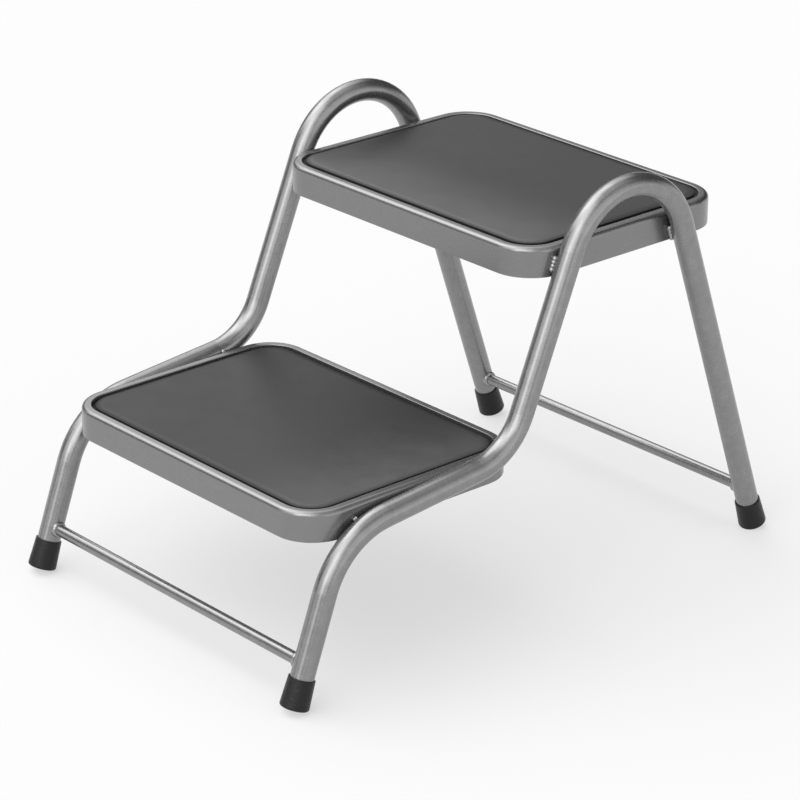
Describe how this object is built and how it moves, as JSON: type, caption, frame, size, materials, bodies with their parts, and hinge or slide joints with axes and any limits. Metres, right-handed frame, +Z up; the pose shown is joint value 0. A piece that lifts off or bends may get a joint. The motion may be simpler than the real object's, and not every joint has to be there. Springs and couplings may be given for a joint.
{
  "type": "step stool",
  "caption": "Rigid welded step stool with bent round-tube side frames rising to hand hoops, pressed metal treads with inset anti-slip mats, cross bars and rubber feet.",
  "frame": {"origin": "on the floor, in the middle of the stool's width and of its depth over the feet", "axes": "+Z up, +Y from the lower tread towards the upper one, +X to the right of someone facing the treads"},
  "size_m": [0.456, 0.6906, 0.4599],
  "materials": {
    "frame_paint": "silver-grey metallic paint, satin",
    "weld_paint": "silver-grey metallic paint over weld, satin",
    "mat_rubber": "matt, smooth",
    "foot_rubber": "matt"
  },
  "bodies": {
    "root": {"left_side_frame": "frame_paint", "right_side_frame": "frame_paint", "upper_step_tray": "frame_paint", "lower_step_tray": "frame_paint", "front_cross_bar": "frame_paint", "rear_cross_bar": "frame_paint", "weld_upper_front_left": "weld_paint", "weld_upper_front_right": "weld_paint", "weld_upper_rear_left": "weld_paint", "weld_upper_rear_right": "weld_paint", "weld_lower_front_left": "weld_paint", "weld_lower_front_right": "weld_paint", "weld_lower_rear_left": "weld_paint", "weld_lower_rear_right": "weld_paint", "weld_front_bar_left": "weld_paint", "weld_front_bar_right": "weld_paint", "weld_rear_bar_left": "weld_paint", "weld_rear_bar_right": "weld_paint", "upper_step_mat": "mat_rubber", "lower_step_mat": "mat_rubber", "foot_front_left": "foot_rubber", "foot_front_right": "foot_rubber", "foot_rear_left": "foot_rubber", "foot_rear_right": "foot_rubber"}
  },
  "joints": []
}
